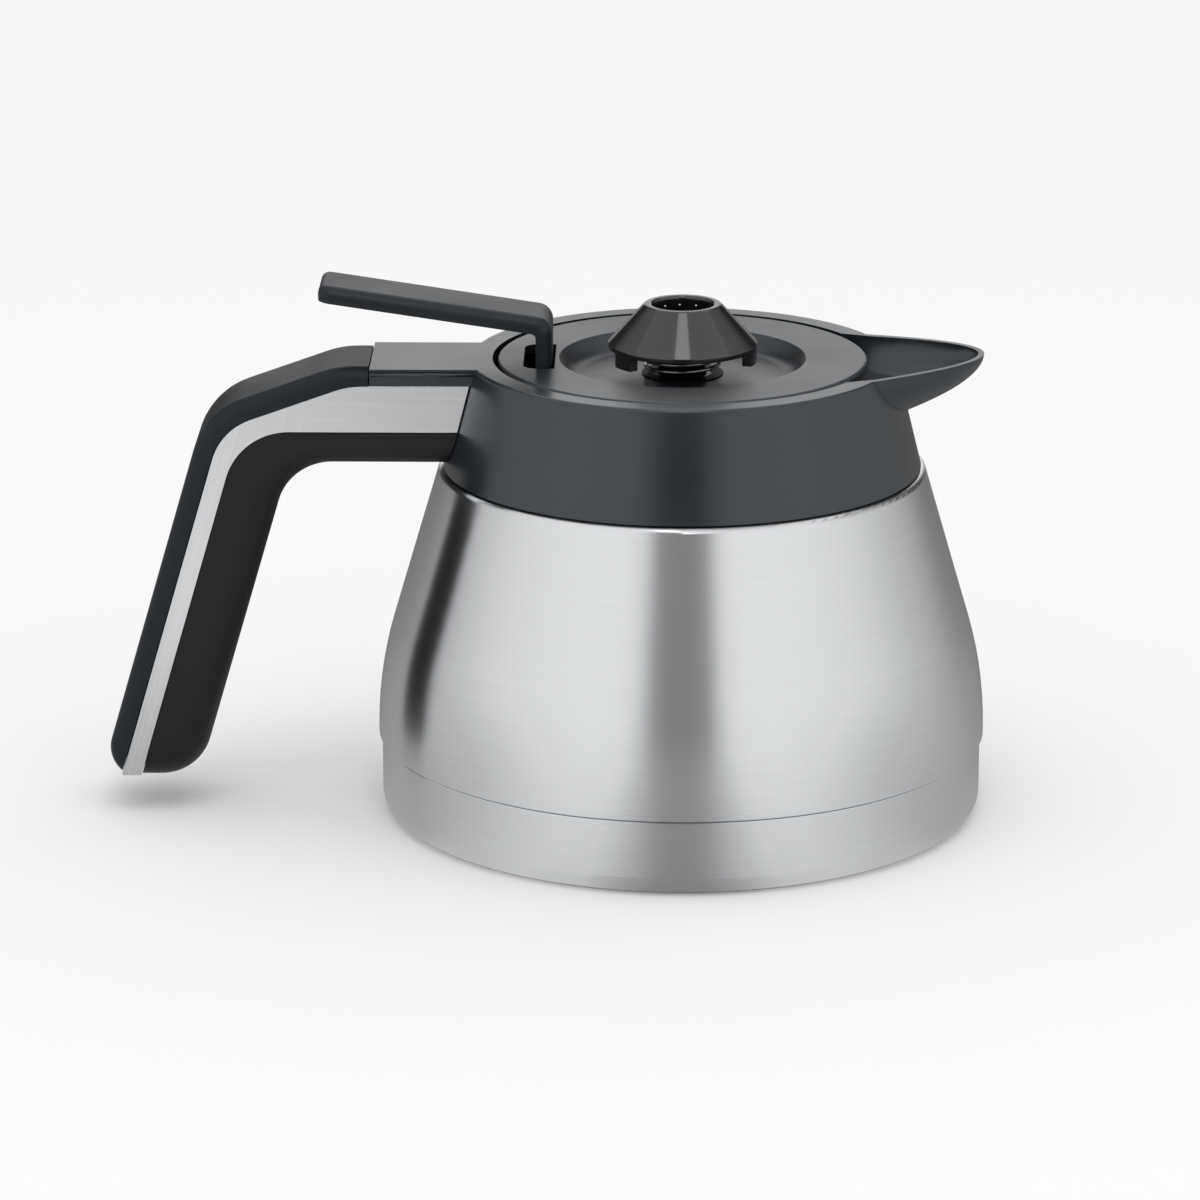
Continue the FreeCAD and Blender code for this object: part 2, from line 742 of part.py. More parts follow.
def lever_slot():
    half = lever_half + slot_side
    back_x = lever_back_x - slot_back
    slot = block(back_x, lever_neck_x + slot_front, -half, half, lid_under_z - over, rim_z + over)
    left = [edge for edge in slot.Edges
            if edge.BoundBox.ZLength > tiny and edge.BoundBox.XMax < back_x + tiny]
    return slot.makeFillet(slot_round, [edge for edge in left if edge.BoundBox.YLength < tiny])


def lever_lugs():
    """Two lugs under the lid that carry the lever's pin."""
    top = lid_under_z + lid_plate / 2
    bottom = pivot_z - lug_half
    corners = [(pivot_x - lug_half, top, 0.0), (pivot_x - lug_half, bottom, lug_half),
               (pivot_x + lug_half, bottom, lug_half), (pivot_x + lug_half, top, 0.0)]
    inner = lug_span - lug_thick
    return [slab(corners, inner, lug_span), slab(corners, -lug_span, -inner)]


def pin_rod(r, half_length):
    return Part.makeCylinder(r, 2 * half_length, V(pivot_x, -half_length, pivot_z), V(0, 1, 0))


def boss_places():
    return [at_circle(lid_boss_circle_r, angle) for angle in lid_boss_angles]


def lid_top():
    under_r = dish_r + dish_edge_round
    plate = turned([
        (guide_r, dish_floor_z, 0.0), (dish_floor_r, dish_floor_z, dish_round),
        (dish_r, rim_z, dish_edge_round), (lid_r, rim_z, lid_edge_round),
        (lid_r, lid_under_z, 0.0), (under_r, lid_under_z, 0.0),
        (dish_floor_r + dish_plate, dish_under_z, 0.0), (guide_out_r, dish_under_z, 0.0),
        (guide_out_r, guide_bottom_z, 0.0), (guide_r, guide_bottom_z, 0.0)])
    bosses = [rod(lid_boss_r, lid_floor_top_z, lid_under_z + lid_plate / 2, x, y) for x, y in boss_places()]
    shape = plate.multiFuse(lever_lugs() + bosses)
    pilots = [rod(lid_screw_r, lid_floor_z, lid_floor_z + lid_screw_length, x, y) for x, y in boss_places()]
    return shape.cut(Part.Compound(pilots + [lever_slot(), pin_rod(pin_r + pin_grip, lug_span + over)]))


def lid_base():
    """Lower cup of the lid: floor with the pour seat, neck wall, flange and rim with the pour window."""
    flange_top = ledge_z + lid_flange
    rim_in_r = lid_r - lid_rim_wall
    groove_r = lid_cup_r - seal_groove
    shape = turned(sharp(
        (pour_seat_r, lid_floor_z), (lid_cup_r, lid_floor_z), (lid_cup_r, seal_z), (groove_r, seal_z),
        (groove_r, seal_z + seal_height), (lid_cup_r, seal_z + seal_height), (lid_cup_r, ledge_z),
        (lid_r, ledge_z), (lid_r, lid_under_z), (rim_in_r, lid_under_z), (rim_in_r, flange_top),
        (lid_cup_in_r, flange_top), (lid_cup_in_r, lid_floor_top_z), (pour_seat_r, lid_floor_top_z)))
    window = Part.makeCylinder(far, lid_under_z - flange_top + over, V(0, 0, flange_top), UP, window_deg)
    window.rotate(V(0, 0, 0), UP, -window_deg / 2)
    holes = [rod(lid_screw_r + lid_screw_room, 0, lid_floor_top_z + over, x, y) for x, y in boss_places()]
    return shape.cut(Part.Compound([window.cut(rod(lid_cup_in_r, 0, far))] + holes))


def lid_seal():
    return ring(lid_cup_r - seal_groove, mouth_r - seal_room, seal_z, seal_z + seal_height)


def lid_screws():
    screws = []
    for x, y in boss_places():
        shank = rod(lid_screw_r, lid_floor_z, lid_floor_z + lid_screw_length, x, y)
        screws.append(shank.fuse(rod(lid_screw_head_r, lid_floor_z - lid_screw_head, lid_floor_z, x, y)))
    return Part.Compound(screws)


def lever_pin():
    return pin_rod(pin_r, lug_span)


def lever_strip():
    """Bent strip that the thumb presses, with its neck down to the pivot."""
    along = V(-math.cos(rise), 0, math.sin(rise))
    top = (V(lever_neck_x, 0, lever_corner_z), along)
    under = line_offset((lever_neck_x, 0, lever_corner_z), along, -lever_thick)
    back = (V(lever_back_x, 0, 0), UP)
    end = (V(lever_tip_x, 0, 0), UP)
    corners = [
        (lever_neck_x, pivot_z, 0.0),
        (lever_neck_x, lever_corner_z, lever_corner_round),
        (*meet(top, end), lever_tip_round),
        (*meet(under, end), 0.0),
        (*meet(under, back), lever_inner_round),
        (lever_back_x, pivot_z, 0.0),
    ]
    strip = slab(corners, -lever_half, lever_half)
    neck_edges = [edge for edge in strip.Edges
                  if edge.BoundBox.YLength < tiny and edge.BoundBox.XMin > lever_neck_x - tiny]
    return strip.makeFillet(lever_edge_round, neck_edges)


def lever_fork():
    """Crank below the pivot: a leg down, a foot plate and two prongs under the valve's flange."""
    low = fork_z - fork_tip_r
    high = fork_z + fork_tip_r
    leg = block(lever_back_x, lever_neck_x, -lever_half, lever_half, low, pivot_z)
    foot_end = lever_back_x + fork_foot
    foot = block(lever_back_x, foot_end, -fork_out_y, fork_out_y, low, high)
    bar = [(lever_back_x, low, 0.0), (fork_tip_r, low, fork_tip_r), (fork_tip_r, high, fork_tip_r),
           (lever_back_x, high, 0.0)]
    prongs = [slab(bar, fork_in_y, fork_out_y), slab(bar, -fork_out_y, -fork_in_y)]
    return [leg, foot] + prongs


def thumb_lever():
    shape = lever_strip().multiFuse(lever_fork() + [pin_rod(lever_boss_r, lever_half)])
    return shape.cut(pin_rod(pin_r + pin_room, lever_half + over)).removeSplitter()


def pour_valve():
    return turned(sharp(
        (sleeve_in_r, disc_bottom_z), (pour_disc_r, disc_bottom_z), (pour_disc_r, disc_top_z),
        (sleeve_out_r, disc_top_z), (sleeve_out_r, flange_bottom_z), (flange_r, flange_bottom_z),
        (flange_r, flange_top_z), (sleeve_in_r, flange_top_z)))


def pour_valve_gasket():
    return ring(pour_seat_r + pour_gasket_lap, pour_disc_r, disc_bottom_z - pour_gasket, disc_bottom_z)


def arc_from(start, direction, end):
    """Arc that leaves a point along a direction and ends at another point."""
    chord = end.sub(start)
    across = V(direction).sub(chord * (direction.dot(chord) / chord.dot(chord)))
    if across.Length < tiny:
        return Part.LineSegment(start, end).toShape()
    half_turn = direction.getAngle(chord) / 2
    bulge = across.normalize() * (chord.Length / 2 * math.tan(half_turn))
    return Part.Arc(start, start + chord * 0.5 + bulge, end).toShape()


def biarc(start, start_way, end, end_way):
    """Two arcs with a common tangent that join two points along two directions."""
    gap = end.sub(start)
    ways = start_way + end_way
    spread = 2 * (1 - start_way.dot(end_way))
    pull = gap.dot(ways)
    reach = (math.sqrt(pull * pull + spread * gap.dot(gap)) - pull) / spread
    joint = (start + end + (start_way - end_way) * reach) * 0.5
    first = arc_from(start, start_way, joint)
    second = arc_from(end, end_way * -1, joint)
    return [first, second]


def spring_stations(mean_r, z_from, z_to, turns, wire):
    """Points and directions of the wire at each quarter turn, with upright ends."""
    bend = spring_bend * wire
    lead_deg = math.degrees(bend / mean_r)
    helix_from = z_from + spring_foot + bend
    helix_to = z_to - spring_foot - bend
    climb = (helix_to - helix_from) / (turns * 2 * math.pi * mean_r)
    quarters = round(turns * 4)
    stations = []
    for i in range(quarters + 1):
        angle = math.radians(spring_start_deg + i * 360 * turns / quarters)
        point = V(mean_r * math.cos(angle), mean_r * math.sin(angle),
                  helix_from + (helix_to - helix_from) * i / quarters)
        stations.append((point, V(-math.sin(angle), math.cos(angle), climb).normalize()))
    first_x, first_y = at_circle(mean_r, spring_start_deg - lead_deg)
    last_x, last_y = at_circle(mean_r, spring_start_deg + 360 * turns + lead_deg)
    start = (V(first_x, first_y, z_from + spring_foot), V(0, 0, 1))
    end = (V(last_x, last_y, z_to - spring_foot), V(0, 0, 1))
    return [start] + stations + [end]


def least_gap(path, wire):
    """Smallest clear distance between the wire's neighbouring turns, measured on points."""
    points = path.discretize(Number=gap_points)
    step = path.Length / (len(points) - 1)
    apart = int(4 * wire / step) + 1
    nearest = far
    for i, point in enumerate(points):
        for other in points[i + apart:]:
            nearest = min(nearest, point.distanceToPoint(other))
    return nearest - wire


def spring(name, mean_r, z_from, z_to, turns, wire):
    """Coil spring as one unbroken tube whose ends stand square on their seats."""
    stations = spring_stations(mean_r, z_from, z_to, turns, wire)
    foot = stations[0][0]
    head = stations[-1][0]
    edges = [Part.LineSegment(V(foot.x, foot.y, z_from), foot).toShape()]
    for (point, way), (next_point, next_way) in zip(stations, stations[1:]):
        edges += biarc(point, way, next_point, next_way)
    edges.append(Part.LineSegment(head, V(head.x, head.y, z_to)).toShape())
    path = Part.Wire(Part.__sortEdges__(edges))
    section = Part.Wire(Part.makeCircle(wire / 2, V(foot.x, foot.y, z_from), UP))
    tube = path.makePipeShell([section], True, False)
    expected = math.pi * wire * wire / 4 * path.Length
    print(name, "least gap %.2f mm" % least_gap(path, wire), "volume share %.3f" % (tube.Volume / expected))
    return tube


def pour_spring():
    return spring("pour_spring", pour_spring_r, flange_top_z + seat_gap, dish_under_z,
                  pour_spring_turns, pour_spring_wire)


def brew_spring():
    return spring("brew_spring", brew_spring_r, dish_floor_z, cone_web_z - seat_gap,
                  brew_spring_turns, brew_spring_wire)


def cone_side_r(z):
    """Outer radius of the brew cone at a height."""
    share = (z - cone_rim_z) / (cone_top_z - cone_rim_z)
    return cone_rim_r + share * (cone_lip_r - cone_rim_r)


def brew_cone():
    bottom = cone_rim_z - cone_rim_height
    skin = cone_wall * math.hypot(cone_height, cone_rim_r - cone_lip_r) / cone_height
    hub_bottom = cone_web_z - hub_drop
    shape = turned([
        (cone_hole_r, cone_top_z, cone_lip_round), (cone_lip_r, cone_top_z, cone_lip_round),
        (cone_rim_r, cone_rim_z, cone_edge_round), (cone_rim_r, bottom, cone_edge_round),
        (cone_rim_r - cone_wall, bottom, 0.0), (cone_rim_r - cone_wall, cone_rim_z - cone_wall / 2, 0.0),
        (cone_side_r(cone_web_z) - skin, cone_web_z, 0.0),
        (cone_hub_r, cone_web_z, 0.0), (cone_hub_r, hub_bottom, 0.0), (stem_r + plug_fit, hub_bottom, 0.0),
        (stem_r + plug_fit, stem_top_z, 0.0), (stem_bore_r + funnel_step, stem_top_z, 0.0),
        (cone_hole_r, funnel_z, 0.0)])
    rim = ring(cone_rim_r - leg_thick, cone_rim_r, leg_bottom_z, cone_rim_z - cone_wall / 2)
    strip = rim.common(block(0, far, -leg_width / 2, leg_width / 2, 0, far))
    return shape.multiFuse(on_circle(strip, leg_angles)).removeSplitter()


def brew_stem():
    """Drip tube with four ports that open below the guide tube when the cone is pressed."""
    tube = ring(stem_bore_r, stem_r, plug_top_z, stem_top_z)
    port_bottom = guide_bottom_z + slide_room
    port = block(0, far, -port_width / 2, port_width / 2, port_bottom, port_bottom + port_height)
    return tube.cut(Part.Compound(on_circle(port, port_angles)))


def brew_plug():
    disc = rod(plug_r, plug_top_z - plug_thick, plug_top_z)
    return disc.fuse(rod(stem_bore_r - plug_fit, plug_top_z, plug_top_z + plug_spigot))


def brew_seal():
    return ring(guide_r, plug_r, plug_top_z, brew_seal_top_z)


nodes = {
    "outer_shell": outer_shell,
    "inner_flask": inner_flask,
    "bottom_plate": bottom_plate,
    "vacuum_seal_bead": vacuum_seal_bead,
    "getter": getter,
    "base_cup": base_cup,
    "collar": collar,
    "neck_gasket": neck_gasket,
    "handle_cap": handle_cap,
    "handle_trim_left": lambda: handle_trim(1),
    "handle_trim_right": lambda: handle_trim(-1),
    "handle_core": handle_core,
    "handle_grip": handle_grip,
    "handle_screws": handle_screws,
    "lid_top": lid_top,
    "lid_base": lid_base,
    "lid_seal": lid_seal,
    "lid_screws": lid_screws,
    "lever_pin": lever_pin,
    "thumb_lever": thumb_lever,
    "pour_valve": pour_valve,
    "pour_valve_gasket": pour_valve_gasket,
    "pour_spring": pour_spring,
    "brew_cone": brew_cone,
    "brew_stem": brew_stem,
    "brew_plug": brew_plug,
    "brew_seal": brew_seal,
    "brew_spring": brew_spring,
}

os.makedirs("parts", exist_ok=True)
for node, make in nodes.items():
    shape = make()
    state = "valid" if shape.isValid() else "NOT VALID"
    print(node, state, len(shape.Solids), "solids %.1f mm3" % shape.Volume)
    shape.exportStep("parts/%s.step" % node)
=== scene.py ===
import json
import math

import bmesh
import bpy
from mathutils import Matrix, Vector


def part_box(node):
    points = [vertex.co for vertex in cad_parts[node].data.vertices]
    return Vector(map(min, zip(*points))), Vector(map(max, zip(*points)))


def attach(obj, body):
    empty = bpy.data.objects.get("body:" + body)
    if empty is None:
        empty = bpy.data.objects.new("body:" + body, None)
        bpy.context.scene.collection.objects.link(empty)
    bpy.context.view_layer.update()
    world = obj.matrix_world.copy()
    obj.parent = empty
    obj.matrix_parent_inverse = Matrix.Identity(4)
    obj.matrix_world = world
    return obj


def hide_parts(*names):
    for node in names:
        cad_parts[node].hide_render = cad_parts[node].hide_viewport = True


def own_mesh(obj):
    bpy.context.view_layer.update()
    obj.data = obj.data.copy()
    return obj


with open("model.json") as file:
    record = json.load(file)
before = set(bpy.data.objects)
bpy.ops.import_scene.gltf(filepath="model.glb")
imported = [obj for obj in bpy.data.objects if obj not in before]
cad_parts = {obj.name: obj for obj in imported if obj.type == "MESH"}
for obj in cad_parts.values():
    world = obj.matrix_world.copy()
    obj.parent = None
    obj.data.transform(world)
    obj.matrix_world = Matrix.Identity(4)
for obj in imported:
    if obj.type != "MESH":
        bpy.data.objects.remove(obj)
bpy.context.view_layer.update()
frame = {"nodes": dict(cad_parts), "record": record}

# Looks of the vacuum jug: camera, studio, finishes, and the pieces that are finer than the solids.
# Metres and radians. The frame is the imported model's: +Z up, +X towards the spout, the handle at -X.

nodes = frame["nodes"]

# Axis and turns
origin = (0.0, 0.0, 0.0)
upwards = (0.0, 0.0, 1.0)
full_turn = 2 * math.pi
quarter_turn = math.pi / 2

# Camera
camera_place = (0.0, -1.3444, 0.4506)
camera_aim = (-0.02015, 0.0, 0.05156)
camera_lens = 170.07      # lens and sensor are in millimetres
camera_sensor = 36.0

# Studio
backdrop_colour = (0.947, 0.931, 0.939, 1.0)
fill_colour = (1.0, 1.0, 1.0, 1.0)
fill_strength = 0.92
floor_colour = (0.95, 0.935, 0.942, 1.0)
floor_roughness = 0.9
floor_half = 8.0
lamp_aim = (0.0, 0.0, 0.06)
overhead_power = 4.0
overhead_size = (1.8, 1.8)
overhead_place = (0.0, -0.35, 2.1)
strip_power = 1.0
strip_size = (0.32, 0.6)
strip_place = (0.0, -0.46, 1.2)
# Tent: glowing sheets round the jug that only reflections see, painted reflections
tent_r = 3.2
tent_height = 3.4
tent_lift = 0.0002        # the tent's ground above the floor
tent_sides = 96

# Painted reflections: shade of the glowing tent that only reflections see, by degrees from the camera's side,
# and how light it is there
wall_shades = ((0.0, 0.17), (10.0, 0.20), (17.0, 0.88), (24.0, 1.0), (60.0, 1.0), (70.0, 0.97),
               (86.0, 0.86), (104.0, 0.70), (126.0, 0.50), (144.0, 0.06), (158.0, 0.06), (168.0, 1.0))
ground_shades = ((0.0, 0.38), (5.0, 0.40), (12.0, 0.60), (20.0, 0.93), (32.0, 0.98), (42.0, 0.88),
                 (52.0, 0.79), (62.0, 0.66), (75.0, 0.60), (90.0, 0.57), (104.0, 0.50), (126.0, 0.38),
                 (150.0, 0.22), (168.0, 0.18))

# Painted shadow: the tent's ground glows darker close to the jug, standing in for the shadow under any body
# on a floor
painted_shadow_r = 0.08
painted_shadow_share = 0.75
painted_shadow_end_r = 0.24

# Brushing of the steel
brush_streak = 30.0       # streaks per metre along the brushing
brush_pitch = 9000.0      # brush lines per metre across it
brush_detail = 3.0
grip_line_pitch = 1800.0  # wider lines on the grip's strips
grip_lean = math.radians(16.4)
bend_from_x = -0.088      # between these the lines turn from the arm to the grip
bend_to_x = -0.094

# Grain of the mouldings
grain_pitch = 4500.0      # grains per metre
grain_detail = 2.0
drift_pitch = 38.0        # slow changes of tone per metre
drift_detail = 4.0

# Most of a noise lies between these
noise_low = 0.3
noise_high = 0.7

# Colours
steel_colour = (0.735, 0.75, 0.765, 1.0)
trim_colour = (0.74, 0.75, 0.765, 1.0)
# darker than bare steel: blackened spring steel, and partly painted shade of the spring under the cone
spring_colour = (0.36, 0.36, 0.37, 1.0)
screw_colour = (0.62, 0.62, 0.62, 1.0)
braze_colour = (0.55, 0.42, 0.22, 1.0)
powder_colour = (0.11, 0.11, 0.11, 1.0)
slate_colour = (0.0125, 0.0155, 0.019, 1.0)
slate_tint = (0.88, 0.95, 1.0, 1.0)
black_colour = (0.006, 0.0062, 0.0066, 1.0)
grip_colour = (0.0045, 0.0050, 0.0066, 1.0)
silicone_colour = (0.17, 0.17, 0.175, 1.0)

# Gloss
steel_anisotropy = 0.90
steel_turn = 0.25         # share of a turn, so that reflections on the body run up and down
slate_ior = 1.65
black_ior = 1.75
gloss_level = 0.5         # collar and lid
matt_level = 0.13         # handle cap
lever_level = 0.18
rubber_level = 0.32
inner_level = 0.05

# Each finish: effect, colour, range of tone, range of roughness, strength and height of the bump
finish_looks = {
    "body_steel": ("turned_brushing", steel_colour, (0.97, 1.03), (0.235, 0.265), 0.004, 0.00002),
    "flask_steel": ("turned_brushing", steel_colour, (0.97, 1.02), (0.26, 0.36), 0.02, 0.00002),
    "trim_steel": ("lengthwise_brushing", trim_colour, (0.92, 1.06), (0.24, 0.32), 0.02, 0.00002),
    "spring_steel": ("moulded_grain", spring_colour, (0.9, 1.06), (0.16, 0.26), 0.02, 0.00001),
    "fastener_steel": ("moulded_grain", screw_colour, (0.9, 1.05), (0.2, 0.32), 0.03, 0.00001),
    "seal_braze": ("moulded_grain", braze_colour, (0.8, 1.1), (0.4, 0.6), 0.1, 0.00003),
    "getter_powder": ("moulded_grain", powder_colour, (0.8, 1.2), (0.8, 0.95), 0.3, 0.00004),
    "collar_plastic": ("moulded_grain", slate_colour, (0.95, 1.05), (0.21, 0.29), 0.07, 0.00003),
    "cap_plastic": ("moulded_grain", slate_colour, (0.95, 1.05), (0.37, 0.45), 0.07, 0.00003),
    "lid_plastic": ("moulded_grain", slate_colour, (0.95, 1.05), (0.29, 0.37), 0.07, 0.00003),
    "lever_plastic": ("moulded_grain", slate_colour, (0.95, 1.05), (0.33, 0.41), 0.07, 0.00003),
    "cone_plastic": ("moulded_grain", black_colour, (0.9, 1.1), (0.07, 0.11), 0.005, 0.00001),
    "inner_plastic": ("moulded_grain", black_colour, (0.9, 1.1), (0.36, 0.48), 0.04, 0.00002),
    "grip_rubber": ("moulded_grain", grip_colour, (0.9, 1.1), (0.40, 0.48), 0.1, 0.00003),
    "seal_silicone": ("moulded_grain", silicone_colour, (0.94, 1.05), (0.45, 0.58), 0.04, 0.00002),
}

# What is the same all over a finish, by the shader's sockets
metal = {"Metallic": 1.0}
slate = {"IOR": slate_ior, "Specular Tint": slate_tint}
plain_sockets = {
    "body_steel": {"Anisotropic": steel_anisotropy, "Anisotropic Rotation": steel_turn, **metal},
    "flask_steel": metal,
    "trim_steel": metal,
    "spring_steel": metal,
    "fastener_steel": metal,
    "seal_braze": metal,
    "getter_powder": {},
    "collar_plastic": {"Specular IOR Level": gloss_level, **slate},
    "cap_plastic": {"Specular IOR Level": matt_level, **slate},
    "lid_plastic": {"Specular IOR Level": gloss_level, **slate},
    "lever_plastic": {"Specular IOR Level": lever_level, **slate},
    "cone_plastic": {"IOR": black_ior},
    "inner_plastic": {"Specular IOR Level": inner_level},
    "grip_rubber": {"Specular IOR Level": rubber_level},
    "seal_silicone": {},
}

# Strips in the handle
trim_edge_round = 0.00045
trim_round_steps = 3

# Beads along the arm
bead_r = 0.0005
bead_sides = 14
bead_from_x = -0.0756
bead_to_x = -0.048
bead_y = 0.01365
bead_z = 0.11225

# Cone, and its spring's seat, whose dark ring paints the shade under the cone
cone_hole_r = 0.0074
liner_gap = 0.00005
liner_thick = 0.0003
liner_drop = 0.0011
liner_height = 0.0026
# bright studs that paint the light dots in the cone's hole
stud_degrees = (62.0, 96.0, 128.0)
stud_r = 0.0004
stud_drop = 0.0022
stud_rounds = 2
seat_in_r = 0.0072
seat_out_r = 0.0100
seat_thick = 0.00025

# Springs
wire_d = 0.001
wire_sides = 14
end_bend = 0.0012
bend_steps = 8
wire_foot = 0.0003
wire_start = quarter_turn
brew_spring_r = 0.009
brew_spring_turns = 4.0
pour_spring_r = 0.0114
pour_spring_turns = 3.5

# Meshes
turn_steps = 40           # steps in a full turn
weld = 1e-6
flat_angle = math.radians(1.0)
sharp_angle = math.radians(40.0)


# Shader node groups

effect_inputs = ("Tone Low", "Tone High", "Roughness Low", "Roughness High")
effect_outputs = ("Tone", "Roughness", "Height")


def add_node(tree, kind, **settings):
    node = tree.nodes.new(kind)
    for name, value in settings.items():
        setattr(node, name, value)
    return node


def stretched_noise(tree, stretch, detail, lean=0.0):
    """Noise on Object coordinates, with its own scale along X, Y and Z, leaning about Y."""
    place = add_node(tree, "ShaderNodeTexCoord")
    mapping = add_node(tree, "ShaderNodeMapping", vector_type="TEXTURE")
    mapping.inputs["Rotation"].default_value = (0.0, lean, 0.0)
    mapping.inputs["Scale"].default_value = [1.0 / scale for scale in stretch]
    noise = add_node(tree, "ShaderNodeTexNoise")
    noise.inputs["Scale"].default_value = 1.0
    noise.inputs["Detail"].default_value = detail
    tree.links.new(place.outputs["Object"], mapping.inputs["Vector"])
    tree.links.new(mapping.outputs["Vector"], noise.inputs["Vector"])
    return noise.outputs["Fac"]


def spread(tree, noise, low, high):
    """A noise, spread between the values of two sockets."""
    ramp = add_node(tree, "ShaderNodeMapRange")
    ramp.inputs["From Min"].default_value = noise_low
    ramp.inputs["From Max"].default_value = noise_high
    tree.links.new(noise, ramp.inputs["Value"])
    tree.links.new(low, ramp.inputs["To Min"])
    tree.links.new(high, ramp.inputs["To Max"])
    return ramp.outputs["Result"]


def turned_lines(tree):
    """Brush lines that run round the jug, for the tone and for the height."""
    lines = stretched_noise(tree, (brush_streak, brush_streak, brush_pitch), brush_detail)
    return lines, lines


def lengthwise_lines(tree):
    """Brush lines that run along the handle's arm and then down its grip, for the tone and for the height."""
    along_arm = stretched_noise(tree, (brush_streak, brush_pitch, brush_pitch), brush_detail)
    along_grip = stretched_noise(tree, (grip_line_pitch, brush_pitch, brush_streak), brush_detail, grip_lean)
    place = add_node(tree, "ShaderNodeTexCoord")
    parts = add_node(tree, "ShaderNodeSeparateXYZ")
    behind = add_node(tree, "ShaderNodeMapRange", interpolation_type="SMOOTHSTEP")
    behind.inputs["From Min"].default_value = bend_from_x
    behind.inputs["From Max"].default_value = bend_to_x
    mix = add_node(tree, "ShaderNodeMix", data_type="FLOAT")
    tree.links.new(place.outputs["Object"], parts.inputs["Vector"])
    tree.links.new(parts.outputs["X"], behind.inputs["Value"])
    tree.links.new(behind.outputs["Result"], mix.inputs["Factor"])
    tree.links.new(along_arm, mix.inputs["A"])
    tree.links.new(along_grip, mix.inputs["B"])
    return mix.outputs["Result"], mix.outputs["Result"]


def grain_and_drift(tree):
    """Slow drift from handling, for the tone, and the moulded grain, for the height."""
    drift = stretched_noise(tree, (drift_pitch, drift_pitch, drift_pitch), drift_detail)
    grain = stretched_noise(tree, (grain_pitch, grain_pitch, grain_pitch), grain_detail)
    return drift, grain


def add_effect(name, make_noises):
    """Group that puts out a tone factor and a roughness, each in a given range, and a height."""
    group = bpy.data.node_groups.new(name, "ShaderNodeTree")
    for socket in effect_inputs:
        group.interface.new_socket(socket, in_out="INPUT", socket_type="NodeSocketFloat")
    for socket in effect_outputs:
        group.interface.new_socket(socket, in_out="OUTPUT", socket_type="NodeSocketFloat")
    given = add_node(group, "NodeGroupInput")
    result = add_node(group, "NodeGroupOutput")
    surface, height = make_noises(group)
    for socket in ("Tone", "Roughness"):
        value = spread(group, surface, given.outputs[socket + " Low"], given.outputs[socket + " High"])
        group.links.new(value, result.inputs[socket])
    group.links.new(height, result.inputs["Height"])
    return group


effects = {
    "turned_brushing": add_effect("turned_brushing", turned_lines),
    "lengthwise_brushing": add_effect("lengthwise_brushing", lengthwise_lines),
    "moulded_grain": add_effect("moulded_grain", grain_and_drift),
}


# Finishes

def new_finish(name):
    """Material whose colour, roughness and normal come from its effect."""
    effect_name, colour, tones, roughnesses, bump_strength, bump_height = finish_looks[name]
    material = bpy.data.materials.new(name)
    material.use_nodes = True
    tree = material.node_tree
    shader = tree.nodes["Principled BSDF"]
    effect = add_node(tree, "ShaderNodeGroup", node_tree=effects[effect_name])
    for socket, value in zip(effect_inputs, tones + roughnesses):
        effect.inputs[socket].default_value = value
    tint = add_node(tree, "ShaderNodeMix", data_type="RGBA", blend_type="MULTIPLY")
    tint.inputs["Factor"].default_value = 1.0
    tint.inputs["A"].default_value = colour
    tree.links.new(effect.outputs["Tone"], tint.inputs["B"])
    bump = add_node(tree, "ShaderNodeBump")
    bump.inputs["Strength"].default_value = bump_strength
    bump.inputs["Distance"].default_value = bump_height
    tree.links.new(effect.outputs["Height"], bump.inputs["Height"])
    tree.links.new(tint.outputs["Result"], shader.inputs["Base Color"])
    tree.links.new(effect.outputs["Roughness"], shader.inputs["Roughness"])
    tree.links.new(bump.outputs["Normal"], shader.inputs["Normal"])
    for socket, value in plain_sockets[name].items():
        shader.inputs[socket].default_value = value
    return material


def brush_round_the_jug(material):
    """Gives a finish the direction of its brush lines, round the jug's axis."""
    tree = material.node_tree
    tangent = add_node(tree, "ShaderNodeTangent", direction_type="RADIAL", axis="Z")
    tree.links.new(tangent.outputs["Tangent"], tree.nodes["Principled BSDF"].inputs["Tangent"])


finishes = {name: new_finish(name) for name in finish_looks}
brush_round_the_jug(finishes["body_steel"])


def dress_nodes():
    """Gives every solid the finish of its slot in the record."""
    for part in frame["record"]["subparts"]:
        solid = nodes[part["node"]]
        finish = finishes[part["material_slot"]]
        if not solid.material_slots:
            solid.data.materials.append(finish)
        for place in solid.material_slots:
            place.material = finish


# Pieces

def add_object(name, bm, material):
    """Turns a finished bmesh into an object with one material."""
    mesh = bpy.data.meshes.new(name)
    bm.to_mesh(mesh)
    bm.free()
    mesh.materials.append(material)
    thing = bpy.data.objects.new(name, mesh)
    bpy.context.scene.collection.objects.link(thing)
    return thing


def add_piece(name, bm, body, slot):
    """Piece on a body, with the finish of a slot."""
    piece = add_object(name, bm, finishes[slot])
    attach(piece, body)
    return piece


def edges_of(geom):
    return [item for item in geom if isinstance(item, bmesh.types.BMEdge)]


def points_of(geom):
    return [item for item in geom if isinstance(item, bmesh.types.BMVert)]


def smooth(faces):
    for face in faces:
        face.smooth = True


def wire_end(bm, ring, coil_r, angle, z, way):
    """Bends a coil's end upright (way 1) or down (way -1), and adds its straight foot."""
    radial = Vector((math.cos(angle), math.sin(angle), 0.0))
    centre = radial * coil_r + Vector((0.0, 0.0, z + way * end_bend))
    bent = bmesh.ops.spin(bm, geom=ring, cent=centre, axis=radial, angle=quarter_turn, steps=bend_steps)
    foot = bmesh.ops.extrude_edge_only(bm, edges=edges_of(bent["geom_last"]))["geom"]
    bmesh.ops.translate(bm, verts=points_of(foot), vec=(0.0, 0.0, way * wire_foot))
    bmesh.ops.contextual_create(bm, geom=edges_of(foot))


